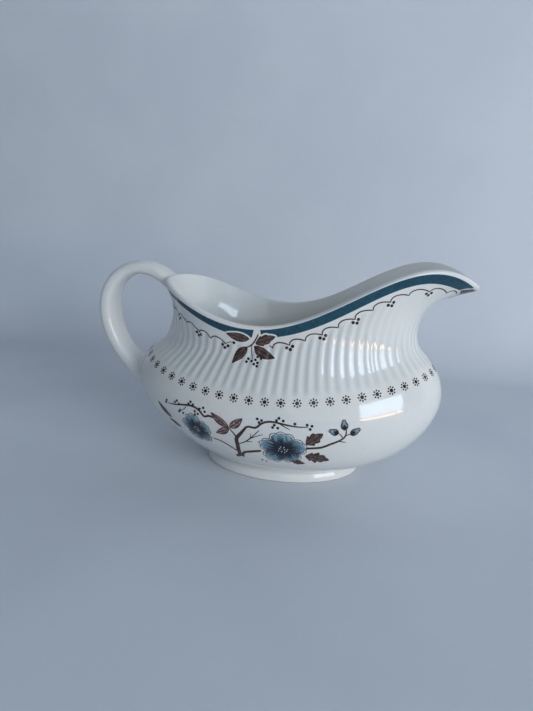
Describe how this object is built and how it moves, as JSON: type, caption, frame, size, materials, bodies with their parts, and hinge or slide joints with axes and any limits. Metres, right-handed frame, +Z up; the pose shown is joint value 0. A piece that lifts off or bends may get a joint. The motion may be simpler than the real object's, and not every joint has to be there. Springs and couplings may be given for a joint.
{
  "type": "gravy boat",
  "caption": "Open oval china gravy boat with a raised pouring lip, a strap handle opposite it and an oval foot ring.",
  "frame": {"origin": "in the plane the foot stands on, under the middle of the overall length", "axes": "+X towards the pouring lip, -X towards the handle, +Z up; the XZ plane is the plane of symmetry"},
  "size_m": [0.203, 0.1056, 0.1125],
  "materials": {
    "glazed_china": "high-gloss clear glaze over a creamy white body"
  },
  "bodies": {
    "root": {"body": "glazed_china", "handle": "glazed_china", "foot_ring": "glazed_china"}
  },
  "joints": []
}
